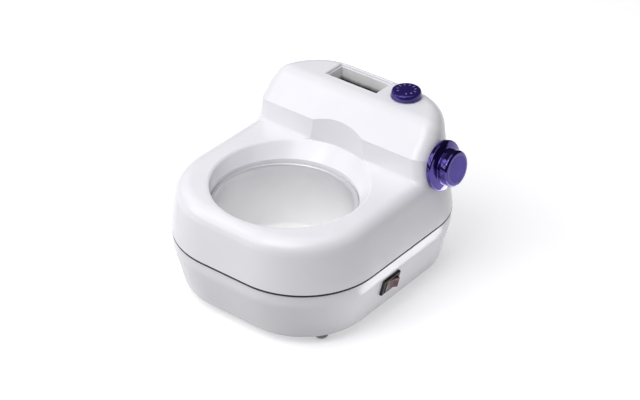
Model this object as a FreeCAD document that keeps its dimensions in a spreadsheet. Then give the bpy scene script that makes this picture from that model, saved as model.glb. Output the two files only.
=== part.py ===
import FreeCAD, Part
import math
import os
import re
import Sketcher

# Salon wax warmer. Millimetres, +Z up, front towards -Y.
# The origin is on the table, under the axis of the heating well.

Vector = FreeCAD.Vector
Rotation = FreeCAD.Rotation

# Driving dimensions, one spreadsheet cell each
SIZES = {
    # outer form of the case
    "body_width": 186.0,
    "top_length": 53.3,
    "front_corner": 69.0,
    "corner_run": 1.5,
    "case_wall": 2.8,
    "foot_height": 5.0,
    "tray_depth": 49.5,
    "band_height": 11.5,
    "tray_inset": 0.8,
    "tray_draft": 13.5,
    "tray_edge": 9.0,
    "band_blend": 18.0,
    "panel_depth": 1.0,
    "seal_thickness": 0.9,
    "seal_inset": 1.0,
    "seal_width": 1.6,
    "upper_draft": 7.0,
    "deck_rise": 43.6,
    "ledge_rise": 63.1,
    "top_rise": 86.6,
    "face_lean": 1.0,
    "ledge_reach": 68.4,
    "slope_run": 21.6,
    "edge_radius": 13.0,
    "inner_bevel": 6.0,
    "brow_extra": 1.0,
    "nook_radius": 3.0,
    # heating well and what holds it
    "opening_radius": 60.0,
    "funnel_flare": 4.3,
    "funnel_shift": 8.0,
    "funnel_strip": 0.5,
    "funnel_depth": 12.5,
    "mouth_round": 3.0,
    "lip_height": 4.0,
    "well_inset": 1.0,
    "well_wall": 1.7,
    "well_taper": 1.8,
    "well_depth": 56.0,
    "well_floor": 3.0,
    "well_corner": 3.0,
    "rim_overhang": 7.0,
    "rim_room": 8.5,
    "rim_thickness": 2.6,
    "rim_bead": 1.2,
    "gasket_thickness": 1.0,
    "gasket_inset": 0.5,
    "ring_thickness": 1.5,
    "ring_play": 0.3,
    "lug_gap": 0.5,
    "lug_radius": 5.0,
    "heater_height": 26.0,
    "heater_thickness": 2.0,
    "heater_drop": 14.0,
    "heater_play": 0.1,
    "heater_gap": 7.0,
    "ear_length": 8.0,
    "cutout_radius": 8.0,
    "cutout_height": 6.0,
    "clip_length": 44.0,
    "clip_width": 12.0,
    "clip_thickness": 1.2,
    "clip_play": 0.4,
    "clip_margin": 5.0,
    "clip_thread": 2.0,
    "blade_spread": 5.0,
    "blade_room": 1.0,
    # cartridge slot in the top
    "slot_middle": -13.0,
    "slot_length": 52.0,
    "slot_setback": 12.4,
    "slot_width": 21.4,
    "slot_depth": 72.0,
    "slot_wall": 1.8,
    "slot_step": 0.7,
    "slot_corner": 6.0,
    "slot_flange": 5.0,
    "slot_bevel": 0.8,
    "plate_height": 40.0,
    "plate_width": 36.0,
    "plate_thickness": 3.0,
    "plate_lift": 6.0,
    "strap_height": 12.0,
    "strap_thickness": 0.8,
    # temperature dial on the top
    "dial_gap": 9.6,
    "dial_radius": 12.9,
    "dial_top_radius": 12.1,
    "dial_height": 6.8,
    "dial_edge": 0.8,
    "dial_socket": 1.6,
    "knob_gap": 0.5,
    "shaft_radius": 3.0,
    "shaft_play": 0.05,
    "bush_radius": 4.6,
    "bush_reach": 3.4,
    "bush_play": 0.2,
    "nut_width": 12.0,
    "nut_height": 2.4,
    "recess_radius": 8.6,
    "recess_depth": 3.6,
    "control_radius": 9.5,
    "control_height": 11.0,
    "control_floor": 2.0,
    "end_play": 0.2,
    # thermostat knob on the right wall
    "knob_height": 53.0,
    "seat_radius": 12.0,
    "seat_rise": 1.2,
    "boss_radius": 11.0,
    "boss_depth": 6.5,
    "flange_radius": 20.9,
    "flange_depth": 5.6,
    "flange_edge": 1.6,
    "neck_radius": 13.2,
    "neck_depth": 4.6,
    "grip_radius": 15.4,
    "grip_depth": 5.6,
    "grip_edge": 3.2,
    "cap_radius": 10.8,
    "cap_depth": 1.2,
    "knob_socket": 4.0,
    "stat_radius": 11.0,
    "stat_depth": 17.0,
    # rocker switch on the right wall of the tray
    "switch_along": 22.5,
    "switch_drop": 22.5,
    "bezel_length": 21.0,
    "bezel_height": 15.0,
    "bezel_rise": 2.4,
    "bezel_edge": 0.8,
    "barrel_length": 19.0,
    "barrel_height": 13.0,
    "barrel_depth": 16.0,
    "rocker_room": 16.0,
    "rocker_bay": 10.6,
    "rocker_length": 14.0,
    "rocker_height": 10.0,
    "rocker_tilt": 10.0,
    "rocker_crest": 2.0,
    "rocker_valley": 0.4,
    "rocker_skirt": 1.5,
    "rocker_taper": 1.0,
    "rocker_depth": 4.5,
    "rocker_nose": 1.5,
    "pivot_radius": 1.2,
    "pivot_reach": 1.0,
    "blade_width": 4.8,
    "blade_thickness": 0.8,
    "blade_length": 8.0,
    # supply, feet and screws
    "gland_place": -20.0,
    "gland_bore": 3.2,
    "gland_hole": 4.2,
    "gland_flange": 5.2,
    "gland_rise": 2.0,
    "gland_lip": 1.2,
    "gland_inside": 1.6,
    "gland_margin": 0.2,
    "block_length": 32.0,
    "block_depth": 14.0,
    "block_height": 12.0,
    "block_inset": 31.3,
    "side_inset": 29.0,
    "front_inset": 41.5,
    "rear_inset": 36.3,
    "foot_radius": 5.6,
    "foot_bevel": 1.6,
    "post_radius": 7.0,
    "post_bore": 4.2,
    "plug_length": 5.0,
    "web_height": 9.0,
    "column_radius": 4.5,
    "column_gap": 1.5,
    "screw_radius": 1.5,
    "screw_head": 2.9,
    "screw_head_height": 2.2,
    "screw_play": 0.2,
    "thread_depth": 12.0,
    "tip_gap": 0.5,
    # how far a cutting shape reaches past what it cuts
    "cut_step": 1.0,
    "cut_margin": 20.0,
}

# Levels and places worked out from the driving dimensions
DERIVED = {
    "half_width": "body_width / 2",
    "well_outside": "opening_radius - well_inset",
    "well_radius": "well_outside - well_wall",
    "rim_radius": "well_outside + rim_overhang",
    "front_reach": "rim_radius + rim_room",
    "face_reach": "ledge_reach - face_lean",
    "brow_reach": "ledge_reach + slope_run",
    "rear_reach": "brow_reach + top_length",
    "rear_corner": "rear_reach - ledge_reach - edge_radius - corner_run",
    "brow_radius": "edge_radius + brow_extra",
    "slope_angle": "atan((top_rise - ledge_rise) / slope_run)",
    "seam": "foot_height + tray_depth",
    "band": "seam - band_height",
    "floor": "foot_height + case_wall",
    "base": "seam + seal_thickness",
    "deck": "base + deck_rise",
    "ledge": "base + ledge_rise",
    "top": "base + top_rise",
    "opening": "deck - funnel_depth",
    "funnel_radius": "opening_radius + funnel_flare",
    "scoop_radius": "funnel_radius + funnel_shift + funnel_strip",
    "mouth_turn": "atan(funnel_depth / (funnel_radius - opening_radius))",
    "mouth_lean": "(funnel_shift + funnel_radius - opening_radius) / funnel_depth",
    "lip": "opening - lip_height",
    "rim": "lip - gasket_thickness",
    "rim_base": "rim - rim_thickness",
    "ring_base": "rim_base - ring_thickness",
    "well_bottom": "rim - well_depth - well_floor",
    "heater_top": "rim_base - heater_drop",
    "under_top": "top - case_wall",
    "slot_floor": "under_top - slot_depth",
    "lug_place": "(rim_radius + lug_gap + lug_radius) * cos(45)",
    "heater_inner": "well_outside + heater_play",
    "heater_outer": "heater_inner + heater_thickness",
    "slot_left": "slot_middle - slot_length / 2",
    "slot_right": "slot_middle + slot_length / 2",
    "slot_front": "brow_reach + slot_setback",
    "slot_back": "slot_front + slot_width",
    "dial_place": "slot_right + dial_gap + dial_radius",
    "dial_back": "slot_front + slot_width / 2",
    "knob_back": "brow_reach",
    "knob_level": "base + knob_height",
    "knob_wall": "half_width - knob_height * tan(upper_draft)",
    "panel_lean": "tan(tray_draft)",
    "switch_level": "seam - switch_drop",
    "panel_wall": "half_width - tray_inset - panel_depth - (switch_drop - band_height) * panel_lean",
    "web": "seam - web_height",
    "strap_level": "slot_floor + plate_lift + plate_height / 2",
    "foot_side": "half_width - side_inset",
    "column_reach": "rim_radius + column_gap + column_radius",
    "foot_front": "max(front_reach - front_inset; sqrt(column_reach ^ 2 - foot_side ^ 2))",
    "foot_back": "rear_reach - rear_inset",
    "block_back": "rear_reach - block_inset",
    "gland_level": "seam - gland_flange - gland_margin",
}

doc = FreeCAD.newDocument("wax_warmer")
sheet = doc.addObject("Spreadsheet::Sheet", "sizes")
for row, (alias, size) in enumerate(SIZES.items(), start=1):
    sheet.set(f"A{row}", alias)
    sheet.set(f"B{row}", str(size))
    sheet.setAlias(f"B{row}", alias)
doc.recompute()

nodes = []

# Two places closer than CLOSE are the same; an edge shorter than SHORT is never a wall.
CLOSE = 0.02
SHORT = 1.0

# Facets of the rounding at the funnel's mouth
MOUTH_STEPS = 3


def formula(text):
    """The text with every name replaced by its spreadsheet cell."""

    def cell(match):
        word = match.group(0)
        if word in DERIVED:
            return "(" + formula(DERIVED[word]) + ")"
        return "sizes." + word if word in SIZES else word

    return re.sub(r"[a-z]+(?:_[a-z]+)*", cell, text)


def size(text):
    """The value of an expression as a number."""
    result = sheet.evalExpression(formula(text))
    return float(getattr(result, "Value", result))


def bind(thing, path, text):
    thing.setExpression(path, formula(text))


def new_body(label, exported=True):
    body = doc.addObject("PartDesign::Body", label)
    body.Label = label
    if exported:
        nodes.append(body)
    return body


def sketch_on(body, role, lift="0"):
    """A sketch on one of the body's own origin planes, raised along its normal."""
    planes = {feature.Role: feature for feature in body.Origin.OriginFeatures}
    sketch = body.newObject("Sketcher::SketchObject", body.Label + "_sketch")
    sketch.AttachmentSupport = [(planes[role], "")]
    sketch.MapMode = "FlatFace"
    bind(sketch, "AttachmentOffset.Base.z", lift)
    return sketch


def constrain(sketch, kind, geometry, text, point=None):
    place = [geometry] if point is None else [geometry, point]
    index = sketch.addConstraint(Sketcher.Constraint(kind, *place, size(text)))
    bind(sketch, f"Constraints[{index}]", text)


def place_point(sketch, geometry, point, across, upward):
    for kind, axis, text in (("DistanceX", -2, across), ("DistanceY", -1, upward)):
        if text == "0":
            sketch.addConstraint(Sketcher.Constraint("PointOnObject", geometry, point, axis))
        else:
            constrain(sketch, kind, geometry, text, point)


def polygon(sketch, corners):
    """A closed outline whose corners are pairs of expressions."""
    first = sketch.GeometryCount
    count = len(corners)
    points = [Vector(size(across), size(upward), 0) for across, upward in corners]
    for index in range(count):
        sketch.addGeometry(Part.LineSegment(points[index], points[(index + 1) % count]), False)
    for index in range(count):
        follower = first + (index + 1) % count
        sketch.addConstraint(Sketcher.Constraint("Coincident", first + index, 2, follower, 1))
    for index, (across, upward) in enumerate(corners):
        place_point(sketch, first + index, 1, across, upward)


def rectangle(sketch, left, low, right, high):
    polygon(sketch, [(left, low), (right, low), (right, high), (left, high)])


def circle(sketch, across, upward, radius):
    centre = Vector(size(across), size(upward), 0)
    index = sketch.addGeometry(Part.Circle(centre, Vector(0, 0, 1), size(radius)), False)
    place_point(sketch, index, 3, across, upward)
    constrain(sketch, "Radius", index, radius)


def case_outline(sketch, inset):
    """The plan of the case: four sides joined by two large and two smaller corner arcs."""
    first = sketch.GeometryCount
    side = f"half_width - ({inset})"
    front = f"({inset}) - front_reach"
    back = f"rear_reach - ({inset})"
    front_arc = f"front_corner - ({inset})"
    back_arc = f"rear_corner - ({inset})"
    corners = [(1, front_arc, -90), (1, back_arc, 0), (-1, back_arc, 90), (-1, front_arc, 180)]
    ends = []
    for sign, arc, start in corners:
        radius = size(arc)
        level = size(front) + radius if arc == front_arc else size(back) - radius
        centre = Vector(sign * (size(side) - radius), level, 0)
        angles = [math.radians(start), math.radians(start + 90)]
        round_edge = Part.Circle(centre, Vector(0, 0, 1), radius)
        sketch.addGeometry(Part.ArcOfCircle(round_edge, *angles), False)
        ends.append([round_edge.value(angle) for angle in angles])
    for index in range(4):
        follower = (index + 1) % 4
        line = sketch.addGeometry(Part.LineSegment(ends[index][1], ends[follower][0]), False)
        sketch.addConstraint(Sketcher.Constraint("Tangent", first + index, 2, line, 1))
        sketch.addConstraint(Sketcher.Constraint("Tangent", line, 2, first + follower, 1))
        sketch.addConstraint(Sketcher.Constraint("Horizontal" if index % 2 else "Vertical", line))
        constrain(sketch, "Radius", first + index, corners[index][1])
    constrain(sketch, "DistanceX", first + 4, side, 1)
    constrain(sketch, "DistanceY", first + 5, back, 1)
    constrain(sketch, "DistanceX", first + 6, f"-({side})", 1)
    constrain(sketch, "DistanceY", first + 7, front, 1)


def pad(body, sketch, length, taper="0", down=False, both=False):
    feature = body.newObject("PartDesign::Pad", body.Label + "_pad")
    feature.Profile = sketch
    bind(feature, "Length", length)
    bind(feature, "TaperAngle", taper)
    feature.Reversed = down
    feature.Midplane = both
    doc.recompute()
    return feature


def pocket(body, sketch, length=None, up=False, both=False):
    before = body.Shape.Volume
    feature = body.newObject("PartDesign::Pocket", body.Label + "_pocket")
    feature.Profile = sketch
    if length is None:
        feature.Type = "ThroughAll"
    else:
        bind(feature, "Length", length)
    feature.Reversed = up
    feature.Midplane = both
    doc.recompute()
    if body.Shape.Volume >= before:
        raise RuntimeError(f"a pocket in {body.Label} cuts nothing")
    return feature


def turn(body, sketch):
    """A full turn of the sketch about its vertical axis."""
    feature = body.newObject("PartDesign::Revolution", body.Label + "_turn")
    feature.Profile = sketch
    feature.ReferenceAxis = (sketch, ["V_Axis"])
    feature.Angle = 360
    doc.recompute()
    return feature


def near(first, second):
    return abs(first - second) < CLOSE


def soften(body, radius, test, kind="PartDesign::Fillet"):
    """Rounds, or bevels, the edges of the body that pass the test."""
    tip = body.Tip
    names = [f"Edge{index}" for index, edge in enumerate(tip.Shape.Edges, start=1) if test(edge)]
    if not names:
        raise RuntimeError(f"no edge to soften on {body.Label}")
    feature = body.newObject(kind, body.Label + "_edges")
    feature.Base = (tip, names)
    bind(feature, "Radius" if kind.endswith("Fillet") else "Size", radius)
    doc.recompute()


def at_level(level):
    height = size(level)
    return lambda edge: near(edge.BoundBox.ZMin, height) and near(edge.BoundBox.ZMax, height)


def ring_edge(radius, level):
    """Finds the round edge of a turned piece by its radius and height."""
    wanted = size(radius)
    flat = at_level(level)

    def test(edge):
        return flat(edge) and hasattr(edge.Curve, "Radius") and near(edge.Curve.Radius, wanted)

    return test


def cross_edge(reach, level):
    """Finds a straight edge that runs from side to side."""
    depth = size(reach)
    flat = at_level(level)
    return lambda edge: flat(edge) and near(edge.BoundBox.YMin, depth) and near(edge.BoundBox.YMax, depth)


def upright(edge):
    box = edge.BoundBox
    return near(box.XMin, box.XMax) and near(box.YMin, box.YMax) and box.ZLength > SHORT


def wall_rim(body, level):
    """Finds the upper border of the walls that stand on the level."""
    foot = size(level)
    uses = {}
    for face in body.Tip.Shape.Faces:
        if near(face.BoundBox.ZMin, foot) and face.BoundBox.ZLength > SHORT:
            for edge in face.Edges:
                uses[edge.hashCode()] = uses.get(edge.hashCode(), 0) + 1
    return lambda edge: uses.get(edge.hashCode()) == 1 and edge.BoundBox.ZMin > foot + SHORT


def hollow(body, cavity):
    feature = body.newObject("PartDesign::Boolean", body.Label + "_hollow")
    feature.Type = "Cut"
    feature.setObjects([cavity])
    doc.recompute()


def knob_sketch(body, lift):
    """A sketch square to the knob's axis, which stands square to the sloping right wall."""
    sketch = sketch_on(body, "YZ_Plane")
    tilt = Rotation(Vector(1, 0, 0), -size("upper_draft"))
    sketch.AttachmentOffset = FreeCAD.Placement(Vector(0, 0, 0), tilt)
    bind(sketch, "AttachmentOffset.Rotation.Angle", "-upper_draft")
    bind(sketch, "AttachmentOffset.Base.x", "knob_back")
    bind(sketch, "AttachmentOffset.Base.y", f"knob_level + ({lift}) * sin(upper_draft)")
    bind(sketch, "AttachmentOffset.Base.z", f"knob_wall + ({lift}) * cos(upper_draft)")
    return sketch


def stand_at(body, across, along, upward="0"):
    for axis, text in (("x", across), ("y", along), ("z", upward)):
        bind(body, f"Placement.Base.{axis}", text)


def stand_on_knob_axis(body):
    body.Placement = FreeCAD.Placement(Vector(0, 0, 0), Rotation(Vector(0, 1, 0), 90))
    bind(body, "Placement.Rotation.Angle", "90 - upper_draft")
    stand_at(body, "knob_wall", "knob_back", "knob_level")


def stand_on_panel(body, spin="0"):
    """Sets a switch piece on the panel; its own X axis points out of the panel."""
    lean = Rotation(Vector(0, 1, 0), size("tray_draft"))
    turned = lean.multiply(Rotation(Vector(0, 0, 1), size(spin)))
    place = Vector(size("panel_wall"), size("switch_along"), size("switch_level"))
    body.Placement = FreeCAD.Placement(place, turned)


def housing_form(body, inset, edge, kind="PartDesign::Fillet"):
    """The upper housing as a solid block: drafted walls, low deck, tall rear tower."""
    deck = f"deck - ({inset})"
    top = f"top - ({inset})"
    face = f"face_reach + ({inset})"
    brow = f"brow_reach + ({inset}) * tan(slope_angle / 2)"
    plan = sketch_on(body, "XY_Plane", "base")
    case_outline(plan, inset)
    pad(body, plan, f"({top}) - base", taper="-upper_draft")
    side = sketch_on(body, "YZ_Plane")
    ahead = "-front_reach - cut_margin"
    above = "top + cut_margin"
    ledge_point = (f"ledge_reach + ({inset})", f"ledge - ({inset}) * tan(45 deg - slope_angle / 2)")
    polygon(
        side,
        [(ahead, deck), (face, deck), ledge_point, (brow, top), (brow, above), (ahead, above)],
    )
    pocket(body, side, both=True)
    soften(body, f"nook_radius + ({inset})", cross_edge(face, deck))
    soften(body, f"brow_radius - ({inset})", cross_edge(brow, top))
    soften(body, edge, wall_rim(body, "base"), kind)
    scoop = sketch_on(body, "XY_Plane", deck)
    circle(scoop, "0", "0", f"scoop_radius + ({inset})")
    pocket(body, scoop, up=True)


def foot_points():
    return [
        (side, along)
        for side in ("foot_side", "-foot_side")
        for along in ("-foot_front", "foot_back")
    ]


def clip_points():
    return [(across, "0") for across in ("clip_length / 2 - clip_margin", "clip_margin - clip_length / 2")]


def lug_points():
    return [(x, y) for x in ("lug_place", "-lug_place") for y in ("lug_place", "-lug_place")]


def upper_housing():
    cavity = new_body("housing_cavity", exported=False)
    housing_form(cavity, "case_wall", "inner_bevel", "PartDesign::Chamfer")
    columns = sketch_on(cavity, "XY_Plane", "base")
    for across, along in foot_points():
        circle(columns, across, along, "column_radius")
    pocket(cavity, columns, up=True)
    funnel_cut(cavity, "lip", "case_wall", "case_wall / 2", [("funnel_shift", "funnel_radius", "0")])
    lugs = sketch_on(cavity, "XY_Plane", "rim_base")
    for across, along in lug_points():
        circle(lugs, across, along, "lug_radius")
    pocket(cavity, lugs, up=True)
    boss = knob_sketch(cavity, "-boss_depth")
    circle(boss, "0", "0", "boss_radius")
    pocket(cavity, boss, up=True)

    body = new_body("upper_housing")
    housing_form(body, "0", "edge_radius")
    seat = knob_sketch(body, "seat_rise")
    circle(seat, "0", "0", "seat_radius")
    pad(body, seat, "boss_depth", down=True)
    hollow(body, cavity)
    funnel_cut(body, "lip - cut_step", "0", "0", mouth_rings())
    room = sketch_on(body, "XY_Plane", "under_top")
    rectangle(room, *slot_border("slot_flange + screw_play", "slot_wall + screw_play"))
    pocket(body, room, "slot_depth / 2")
    slot = sketch_on(body, "XY_Plane", "top")
    rectangle(slot, "slot_left", "slot_front", "slot_right", "slot_back")
    pocket(body, slot, "case_wall + cut_step")
    dial_hole = sketch_on(body, "XY_Plane", "top")
    circle(dial_hole, "dial_place", "dial_back", "bush_radius + bush_play")
    pocket(body, dial_hole, "case_wall + cut_step")
    knob_hole = knob_sketch(body, "seat_rise")
    circle(knob_hole, "0", "0", "bush_radius + bush_play")
    pocket(body, knob_hole, "boss_depth + seat_rise + cut_step")
    threads = sketch_on(body, "XY_Plane", "base")
    for across, along in foot_points():
        circle(threads, across, along, "screw_radius")
    pocket(body, threads, "thread_depth", up=True)
    lug_threads = sketch_on(body, "XY_Plane", "rim_base")
    for across, along in lug_points():
        circle(lug_threads, across, along, "screw_radius")
    pocket(body, lug_threads, "thread_depth", up=True)
    soften(body, "slot_bevel", slot_mouth, "PartDesign::Chamfer")


def slot_border(beside="0", behind="0"):
    """The plan of the slot's inside, widened by the given amounts."""
    return [
        f"slot_left + slot_step - ({beside})", f"slot_front + slot_step - ({behind})",
        f"slot_right - slot_step + ({beside})", f"slot_back - slot_step + ({behind})",
    ]


def slot_mouth(edge):
    """Finds the upper border of the cartridge slot."""
    box = edge.BoundBox
    across = box.XMin > size("slot_left") - SHORT and box.XMax < size("slot_right") + SHORT
    along = box.YMin > size("slot_front") - SHORT and box.YMax < size("slot_back") + SHORT
    return across and along and box.ZMin > size("top") - SHORT


def mouth_rings():
    """Circles of the funnel's upper end, from the wall up to the deck: place, radius and depth.

    They follow a rounding at the sides, and all pass through the funnel's rear line."""
    rings = []
    for step in range(MOUTH_STEPS, -1, -1):
        bend = f"mouth_turn * {step} / {MOUTH_STEPS}"
        outward = f"(mouth_round * (tan(mouth_turn / 2) - sin({bend})))"
        depth = f"(mouth_round * (1 - cos({bend})))"
        rings.append((f"funnel_shift - {outward} - {depth} * mouth_lean", f"funnel_radius + {outward}", depth))
    return rings


def funnel_cut(body, low, wider, drop, rings):
    """Cuts the opening over the well: a round neck, then a funnel that leans to the rear."""
    before = body.Shape.Volume
    neck = sketch_on(body, "XY_Plane", low)
    circle(neck, "0", "0", f"opening_radius + ({wider})")
    pocket(body, neck, f"opening - ({drop}) - ({low})", up=True)
    foot = sketch_on(body, "XY_Plane", f"opening - ({drop})")
    circle(foot, "0", "0", f"opening_radius + ({wider})")
    sections = []
    for along, radius, depth in rings:
        section = sketch_on(body, "XY_Plane", f"deck - ({drop}) - ({depth})")
        circle(section, "0", along, f"{radius} + ({wider})")
        sections.append(section)
    funnel = body.newObject("PartDesign::SubtractiveLoft", body.Label + "_funnel")
    funnel.Profile = foot
    funnel.Sections = sections
    funnel.Ruled = True
    doc.recompute()
    if body.Shape.Volume >= before:
        raise RuntimeError(f"the funnel in {body.Label} cuts nothing")


def tray_form(body, inset, depth, edge):
    """The tray as a solid block: an upright band with a drafted bowl under it."""
    plan = sketch_on(body, "XY_Plane", "band")
    case_outline(plan, f"tray_inset + ({inset})")
    pad(body, plan, "band_height")
    bowl = sketch_on(body, "XY_Plane", "band")
    case_outline(bowl, f"tray_inset + ({inset})")
    pad(body, bowl, depth, taper="-tray_draft", down=True)
    soften(body, edge, at_level(f"band - ({depth})"))
    soften(body, "band_blend", at_level("band"))


def base_tray():
    cavity = new_body("tray_cavity", exported=False)
    tray_form(cavity, "case_wall", "band - floor", "tray_edge - case_wall")
    posts = sketch_on(cavity, "XY_Plane", "seam")
    for across, along in foot_points():
        circle(posts, across, along, "post_radius")
    pocket(cavity, posts)

    body = new_body("base_tray")
    tray_form(body, "0", "band - foot_height", "tray_edge")
    panel = sketch_on(body, "XZ_Plane")
    panel_top = "half_width - tray_inset - panel_depth"
    panel_foot = f"{panel_top} - band * panel_lean"
    outside = "half_width + cut_margin"
    polygon(panel, [(panel_top, "band"), (panel_foot, "0"), (outside, "0"), (outside, "band")])
    pocket(body, panel, both=True)
    hollow(body, cavity)
    bores = sketch_on(body, "XY_Plane", "foot_height")
    for across, along in foot_points():
        circle(bores, across, along, "post_bore")
    pocket(body, bores, "web - foot_height", up=True)
    holes = sketch_on(body, "XY_Plane", "seam")
    for across, along in foot_points():
        circle(holes, across, along, "screw_radius + screw_play")
    pocket(body, holes, "web_height + cut_step")
    window = sketch_on(body, "YZ_Plane")
    lean = Rotation(Vector(1, 0, 0), size("tray_draft"))
    window.AttachmentOffset = FreeCAD.Placement(Vector(0, 0, 0), lean)
    bind(window, "AttachmentOffset.Rotation.Angle", "tray_draft")
    bind(window, "AttachmentOffset.Base.x", "switch_along")
    bind(window, "AttachmentOffset.Base.y", "switch_level")
    bind(window, "AttachmentOffset.Base.z", "panel_wall")
    rectangle(
        window, "-barrel_length / 2 - screw_play", "-barrel_height / 2 - screw_play",
        "barrel_length / 2 + screw_play", "barrel_height / 2 + screw_play",
    )
    pocket(body, window, "2 * case_wall")
    gland = sketch_on(body, "XZ_Plane", "-rear_reach")
    circle(gland, "gland_place", "gland_level", "gland_hole")
    pocket(body, gland, "tray_inset + case_wall + cut_step", up=True)


def seam_seal():
    body = new_body("seam_seal")
    plan = sketch_on(body, "XY_Plane", "seam")
    case_outline(plan, "seal_inset")
    case_outline(plan, "seal_inset + seal_width")
    pad(body, plan, "seal_thickness")


def turned(label, corners):
    body = new_body(label)
    profile = sketch_on(body, "XZ_Plane")
    polygon(profile, corners)
    turn(body, profile)
    return body


def heating_well():
    low = "well_bottom"
    floor = "well_bottom + well_floor"
    body = turned(
        "heating_well",
        [("0", low), ("well_outside", low), ("well_outside", "rim_base"), ("rim_radius", "rim_base"),
         ("rim_radius", "rim"), ("well_radius", "rim"), ("well_radius - well_taper", floor), ("0", floor)],
    )
    soften(body, "well_corner", ring_edge("well_radius - well_taper", floor))
    soften(body, "well_corner / 2", ring_edge("well_outside", low))
    soften(body, "rim_bead", ring_edge("well_radius", "rim"))
    holes = sketch_on(body, "XY_Plane", low)
    for across, along in clip_points():
        circle(holes, across, along, "screw_radius")
    pocket(body, holes, "clip_thread", up=True)


def well_gasket():
    turned(
        "well_gasket",
        [("opening_radius + gasket_inset", "rim"), ("rim_radius", "rim"), ("rim_radius", "lip"),
         ("opening_radius + gasket_inset", "lip")],
    )


def retaining_ring():
    body = new_body("retaining_ring")
    plan = sketch_on(body, "XY_Plane", "ring_base")
    circle(plan, "0", "0", "rim_radius")
    pad(body, plan, "ring_thickness")
    for across, along in lug_points():
        lug = sketch_on(body, "XY_Plane", "ring_base")
        circle(lug, across, along, "lug_radius")
        pad(body, lug, "ring_thickness")
    start = "(rim_radius - lug_radius) * cos(45)"
    wide = "lug_radius * cos(45)"
    arm = [(f"{start} - {wide}", f"{start} + {wide}"), (f"{start} + {wide}", f"{start} - {wide}"),
           (f"lug_place + {wide}", f"lug_place - {wide}"), (f"lug_place - {wide}", f"lug_place + {wide}")]
    for side in ("", "-"):
        for end in ("", "-"):
            tongue = sketch_on(body, "XY_Plane", "ring_base")
            polygon(tongue, [(f"{side}({across})", f"{end}({along})") for across, along in arm])
            pad(body, tongue, "ring_thickness")
    bore = sketch_on(body, "XY_Plane", "ring_base")
    circle(bore, "0", "0", "well_outside + ring_play")
    for across, along in lug_points():
        circle(bore, across, along, "screw_radius + screw_play")
    pocket(body, bore, "ring_thickness", up=True)


def screw_group(label, points, seat, length):
    """A group of equal pan-head screws whose heads sit against one level."""
    group = []
    for across, along in points:
        head = doc.addObject("Part::Cylinder", label + "_head")
        bind(head, "Radius", "screw_head")
        bind(head, "Height", "screw_head_height")
        stand_at(head, across, along, f"{seat} - screw_head_height")
        shank = doc.addObject("Part::Cylinder", label + "_shank")
        bind(shank, "Radius", "screw_radius - shaft_play")
        bind(shank, "Height", f"screw_head_height / 2 + {length}")
        stand_at(shank, across, along, f"{seat} - screw_head_height / 2")
        screw = doc.addObject("Part::Fuse", label + "_screw")
        screw.Base = head
        screw.Tool = shank
        group.append(screw)
    gather(label, group)


def gather(label, pieces):
    """Equal pieces that share one node."""
    compound = doc.addObject("Part::Compound", label)
    compound.Label = label
    compound.Links = pieces
    nodes.append(compound)
    doc.recompute()


def band_heater():
    body = new_body("band_heater")
    profile = sketch_on(body, "XZ_Plane")
    rectangle(profile, "heater_inner", "heater_top - heater_height", "heater_outer", "heater_top")
    turn(body, profile)
    ears = sketch_on(body, "XY_Plane", "heater_top - heater_height")
    half = "heater_gap / 2 + heater_thickness"
    rectangle(ears, f"-({half})", "heater_inner + heater_thickness / 2", half, "heater_outer + ear_length")
    pad(body, ears, "heater_height")
    gap = sketch_on(body, "XY_Plane", "heater_top")
    end = "heater_outer + ear_length + cut_step"
    rectangle(gap, "-heater_gap / 2", "well_outside - cut_step", "heater_gap / 2", end)
    pocket(body, gap, "heater_height")
    hole = sketch_on(body, "YZ_Plane")
    middle = "heater_top - heater_height / 2"
    circle(hole, "heater_outer + ear_length / 2", middle, "screw_radius + screw_play")
    pocket(body, hole, both=True)


def clamp_bolt():
    """The bolt and nut that draw the heater band tight; it lies across the ears."""
    body = turned(
        "clamp_bolt",
        [("0", "0"), ("screw_head", "0"), ("screw_head", "screw_head_height"),
         ("screw_radius - shaft_play", "screw_head_height"),
         ("screw_radius - shaft_play", "screw_head_height + heater_gap + 2 * heater_thickness"),
         ("screw_head", "screw_head_height + heater_gap + 2 * heater_thickness"),
         ("screw_head", "2 * screw_head_height + heater_gap + 2 * heater_thickness"),
         ("0", "2 * screw_head_height + heater_gap + 2 * heater_thickness")],
    )
    body.Placement = FreeCAD.Placement(Vector(0, 0, 0), Rotation(Vector(0, 1, 0), 90))
    stand_at(
        body, "-heater_gap / 2 - heater_thickness - screw_head_height",
        "heater_outer + ear_length / 2", "heater_top - heater_height / 2",
    )


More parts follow.
